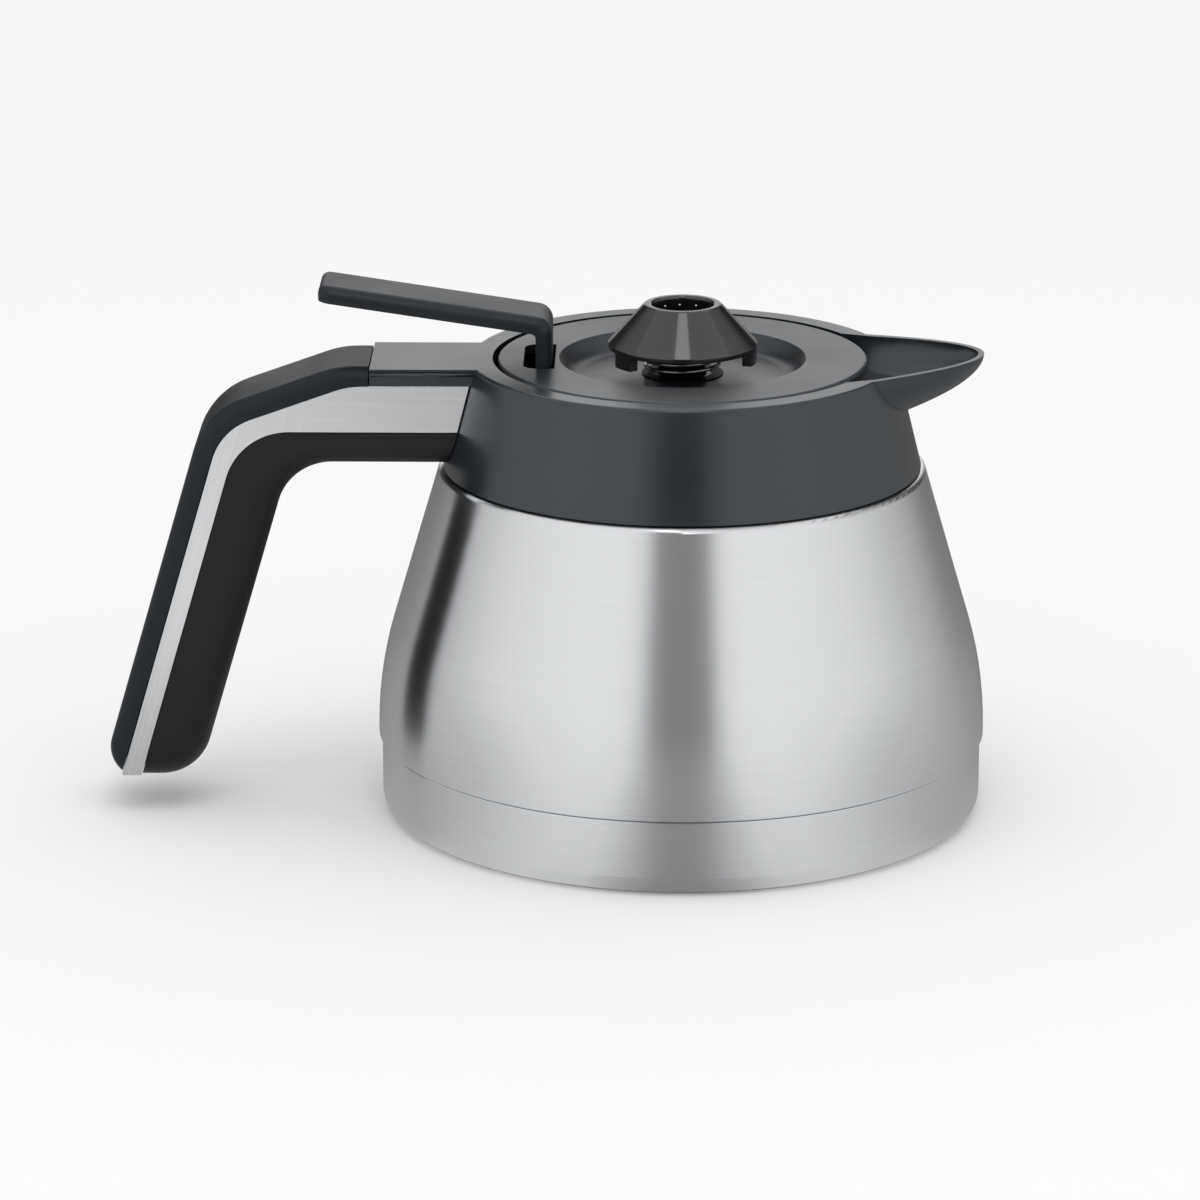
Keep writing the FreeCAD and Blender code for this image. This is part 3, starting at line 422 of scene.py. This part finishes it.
def coil_spring(node, coil_r, turns):
    """Coil spring in the place of its solid."""
    low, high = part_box(node)
    start_z = low.z + wire_foot + end_bend
    end_z = high.z - wire_foot - end_bend
    steps = round(turns * turn_steps)
    bm = bmesh.new()
    made = bmesh.ops.create_circle(bm, segments=wire_sides, radius=wire_d / 2)
    upright = Matrix.Translation((coil_r, 0.0, start_z)) @ Matrix.Rotation(quarter_turn, 4, "X")
    turned = Matrix.Rotation(wire_start, 4, "Z") @ upright
    bmesh.ops.transform(bm, matrix=turned, verts=made["verts"])
    first = list(bm.edges)
    climb = (0.0, 0.0, (end_z - start_z) / steps)
    coil = bmesh.ops.spin(
        bm, geom=first, cent=origin, axis=upwards, dvec=climb, angle=turns * full_turn, steps=steps)
    last = edges_of(coil["geom_last"])
    wire_end(bm, last, coil_r, wire_start + turns * full_turn, end_z, 1.0)
    wire_end(bm, first, coil_r, wire_start, start_z, -1.0)
    bmesh.ops.remove_doubles(bm, verts=bm.verts, dist=weld)
    bmesh.ops.recalc_face_normals(bm, faces=bm.faces)
    smooth(bm.faces)
    piece = add_piece(node + "_coil", bm, "lid", "spring_steel")
    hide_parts(node)
    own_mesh(piece)


def arm_bead(name, side):
    """Thin rounded bead along one side of the arm, under its top face."""
    bm = bmesh.new()
    made = bmesh.ops.create_circle(bm, segments=bead_sides, radius=bead_r)
    upright = Matrix.Translation((bead_from_x, side * bead_y, bead_z)) @ Matrix.Rotation(quarter_turn, 4, "Y")
    bmesh.ops.transform(bm, matrix=upright, verts=made["verts"])
    first = list(bm.edges)
    drawn = bmesh.ops.extrude_edge_only(bm, edges=first)["geom"]
    bmesh.ops.translate(bm, verts=points_of(drawn), vec=(bead_to_x - bead_from_x, 0.0, 0.0))
    smooth(bm.faces)
    bmesh.ops.contextual_create(bm, geom=first)
    bmesh.ops.contextual_create(bm, geom=edges_of(drawn))
    bmesh.ops.recalc_face_normals(bm, faces=bm.faces)
    add_piece(name, bm, "jug", "collar_plastic")


def trim_strip(node):
    """Strip with rounded edges in the place of its solid."""
    bm = bmesh.new()
    bm.from_mesh(nodes[node].data)
    bmesh.ops.transform(bm, matrix=nodes[node].matrix_world, verts=bm.verts)
    bmesh.ops.remove_doubles(bm, verts=bm.verts, dist=weld)
    bmesh.ops.dissolve_limit(bm, angle_limit=flat_angle, verts=bm.verts, edges=bm.edges)
    sharp = [edge for edge in bm.edges if edge.is_manifold and edge.calc_face_angle() > sharp_angle]
    rounded = bmesh.ops.bevel(
        bm, geom=sharp, offset=trim_edge_round, offset_type="OFFSET", segments=trim_round_steps,
        profile=0.5, affect="EDGES", clamp_overlap=True, material=-1)
    smooth(rounded["faces"])
    piece = add_piece(node + "_strip", bm, "jug", "trim_steel")
    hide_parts(node)


def turned_ring(name, inner_r, outer_r, low_z, high_z, body, slot):
    """Plain ring turned round the jug's axis."""
    corners = ((outer_r, low_z), (outer_r, high_z), (inner_r, high_z), (inner_r, low_z), (outer_r, low_z))
    bm = bmesh.new()
    points = [bm.verts.new((r, 0.0, z)) for r, z in corners]
    edges = [bm.edges.new(pair) for pair in zip(points, points[1:])]
    bmesh.ops.spin(
        bm, geom=points + edges, cent=origin, axis=upwards, angle=full_turn, steps=turn_steps, use_merge=True)
    bmesh.ops.remove_doubles(bm, verts=bm.verts, dist=weld)
    bmesh.ops.recalc_face_normals(bm, faces=bm.faces)
    add_piece(name, bm, body, slot)


def hole_liner():
    """Matt black lining of the cone's hole."""
    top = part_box("brew_cone")[1].z - liner_drop
    outer_r = cone_hole_r - liner_gap
    turned_ring(
        "hole_liner", outer_r - liner_thick, outer_r, top - liner_height, top, "brew_valve", "inner_plastic")


def highlight_studs():
    """Small bright studs on the lining, under the cone's lip, put there as painted highlights: the light dots
    in the hole.
    """
    reach = cone_hole_r - liner_gap - liner_thick
    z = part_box("brew_cone")[1].z - stud_drop
    for index, degrees in enumerate(stud_degrees):
        angle = math.radians(degrees)
        place = Matrix.Translation((math.cos(angle) * reach, math.sin(angle) * reach, z))
        bm = bmesh.new()
        bmesh.ops.create_icosphere(bm, subdivisions=stud_rounds, radius=stud_r, matrix=place)
        smooth(bm.faces)
        add_piece("liner_stud_%d" % index, bm, "brew_valve", "fastener_steel")


def spring_seat_and_shade():
    """Dark ring that the cone's spring stands on; its matt black paints the shade under the cone."""
    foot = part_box("brew_spring")[0].z
    turned_ring("spring_seat_and_shade", seat_in_r, seat_out_r, foot, foot + seat_thick, "lid", "inner_plastic")


# Studio

def add_camera():
    data = bpy.data.cameras.new("camera")
    data.lens = camera_lens
    data.sensor_width = camera_sensor
    camera = bpy.data.objects.new("camera", data)
    bpy.context.scene.collection.objects.link(camera)
    camera.location = camera_place
    camera.rotation_mode = "QUATERNION"
    aim = Vector(camera_aim) - Vector(camera_place)
    camera.rotation_quaternion = aim.to_track_quat("-Z", "Y")
    bpy.context.scene.camera = camera


def add_world():
    """Pale backdrop for the eye and for reflections, and an even fill for the rest."""
    world = bpy.data.worlds.new("studio")
    bpy.context.scene.world = world
    world.use_nodes = True
    tree = world.node_tree
    tree.nodes.clear()
    rays = add_node(tree, "ShaderNodeLightPath")
    seen = add_node(tree, "ShaderNodeMath", operation="MAXIMUM")
    tree.links.new(rays.outputs["Is Camera Ray"], seen.inputs[0])
    tree.links.new(rays.outputs["Is Glossy Ray"], seen.inputs[1])
    shown = add_node(tree, "ShaderNodeMath", operation="MAXIMUM")
    tree.links.new(seen.outputs["Value"], shown.inputs[0])
    tree.links.new(rays.outputs["Is Transmission Ray"], shown.inputs[1])
    fill = add_node(tree, "ShaderNodeBackground")
    fill.inputs["Color"].default_value = fill_colour
    fill.inputs["Strength"].default_value = fill_strength
    backdrop = add_node(tree, "ShaderNodeBackground")
    backdrop.inputs["Color"].default_value = backdrop_colour
    backdrop.inputs["Strength"].default_value = 1.0
    mix = add_node(tree, "ShaderNodeMixShader")
    result = add_node(tree, "ShaderNodeOutputWorld")
    tree.links.new(shown.outputs["Value"], mix.inputs["Fac"])
    tree.links.new(fill.outputs["Background"], mix.inputs[1])
    tree.links.new(backdrop.outputs["Background"], mix.inputs[2])
    tree.links.new(mix.outputs["Shader"], result.inputs["Surface"])


def add_lamp(name, place, size, power):
    """Rectangular softbox that points at the jug."""
    data = bpy.data.lights.new(name, "AREA")
    data.shape = "RECTANGLE"
    data.size, data.size_y = size
    data.energy = power
    lamp = bpy.data.objects.new(name, data)
    bpy.context.scene.collection.objects.link(lamp)
    lamp.location = place
    lamp.rotation_mode = "QUATERNION"
    lamp.rotation_quaternion = (Vector(lamp_aim) - Vector(place)).to_track_quat("-Z", "Y")
    return lamp


def add_floor():
    material = bpy.data.materials.new("floor")
    material.use_nodes = True
    shader = material.node_tree.nodes["Principled BSDF"]
    shader.inputs["Base Color"].default_value = floor_colour
    shader.inputs["Roughness"].default_value = floor_roughness
    shader.inputs["Specular IOR Level"].default_value = 0.0
    bm = bmesh.new()
    bmesh.ops.create_grid(bm, x_segments=1, y_segments=1, size=floor_half)
    add_object("floor", bm, material)


def painted_reflection_material(name, shades):
    """Painted reflection: glow that depends on the direction round the jug, from the camera's side, and dims
    close to it.
    """
    material = bpy.data.materials.new(name)
    material.use_nodes = True
    tree = material.node_tree
    tree.nodes.clear()
    place = add_node(tree, "ShaderNodeTexCoord")
    parts = add_node(tree, "ShaderNodeSeparateXYZ")
    forward = add_node(tree, "ShaderNodeMath", operation="MULTIPLY")
    forward.inputs[1].default_value = -1.0
    turn = add_node(tree, "ShaderNodeMath", operation="ARCTAN2")
    aside = add_node(tree, "ShaderNodeMath", operation="ABSOLUTE")
    share = add_node(tree, "ShaderNodeMath", operation="DIVIDE")
    share.inputs[1].default_value = math.pi
    ramp = add_node(tree, "ShaderNodeValToRGB")
    stops = ramp.color_ramp.elements
    for index, (degrees, shade) in enumerate(shades):
        stop = stops[index] if index < 2 else stops.new(1.0)
        stop.position = math.radians(degrees) / math.pi
        stop.color = (shade, shade, shade, 1.0)
    # painted shadow: the glow dims close to the jug
    reach = add_node(tree, "ShaderNodeVectorMath", operation="LENGTH")
    painted_shadow = add_node(tree, "ShaderNodeMapRange")
    painted_shadow.inputs["From Min"].default_value = painted_shadow_r
    painted_shadow.inputs["From Max"].default_value = painted_shadow_end_r
    painted_shadow.inputs["To Min"].default_value = painted_shadow_share
    glow = add_node(tree, "ShaderNodeEmission")
    result = add_node(tree, "ShaderNodeOutputMaterial")
    tree.links.new(place.outputs["Object"], reach.inputs[0])
    tree.links.new(reach.outputs["Value"], painted_shadow.inputs["Value"])
    tree.links.new(painted_shadow.outputs["Result"], glow.inputs["Strength"])
    tree.links.new(place.outputs["Object"], parts.inputs["Vector"])
    tree.links.new(parts.outputs["Y"], forward.inputs[0])
    tree.links.new(parts.outputs["X"], turn.inputs[0])
    tree.links.new(forward.outputs["Value"], turn.inputs[1])
    tree.links.new(turn.outputs["Value"], aside.inputs[0])
    tree.links.new(aside.outputs["Value"], share.inputs[0])
    tree.links.new(share.outputs["Value"], ramp.inputs["Fac"])
    tree.links.new(ramp.outputs["Color"], glow.inputs["Color"])
    tree.links.new(glow.outputs["Emission"], result.inputs["Surface"])
    return material


def add_painted_reflection_sheet(name, bm, shades):
    """Part of the tent that only reflections see: a glowing sheet, no lamp, that paints reflections."""
    sheet = add_object(name, bm, painted_reflection_material(name, shades))
    sheet.visible_camera = False
    sheet.visible_diffuse = False
    sheet.visible_shadow = False
    sheet.visible_transmission = False


def add_painted_reflections():
    """Wall and ground of a glowing tent round the jug, which paint the light and dark reflections on the
    steel and gloss.
    """
    bm = bmesh.new()
    bmesh.ops.create_circle(bm, segments=tent_sides, radius=tent_r)
    raised = bmesh.ops.extrude_edge_only(bm, edges=bm.edges)["geom"]
    bmesh.ops.translate(bm, verts=points_of(raised), vec=(0.0, 0.0, tent_height))
    add_painted_reflection_sheet("painted_reflection_wall", bm, wall_shades)
    bm = bmesh.new()
    bmesh.ops.create_circle(bm, segments=tent_sides, radius=tent_r, cap_ends=True)
    bmesh.ops.translate(bm, verts=bm.verts, vec=(0.0, 0.0, tent_lift))
    add_painted_reflection_sheet("painted_reflection_ground", bm, ground_shades)


def add_studio():
    add_world()
    add_floor()
    overhead = add_lamp("overhead_softbox", overhead_place, overhead_size, overhead_power)
    overhead.visible_glossy = False
    add_lamp("strip_softbox", strip_place, strip_size, strip_power)
    # painted reflections, seen only in reflections
    add_painted_reflections()


bpy.context.scene.view_settings.view_transform = "Standard"
dress_nodes()
coil_spring("brew_spring", brew_spring_r, brew_spring_turns)
coil_spring("pour_spring", pour_spring_r, pour_spring_turns)
hole_liner()
highlight_studs()
spring_seat_and_shade()
arm_bead("arm_bead_left", 1.0)
arm_bead("arm_bead_right", -1.0)
trim_strip("handle_trim_left")
trim_strip("handle_trim_right")
add_camera()
add_studio()
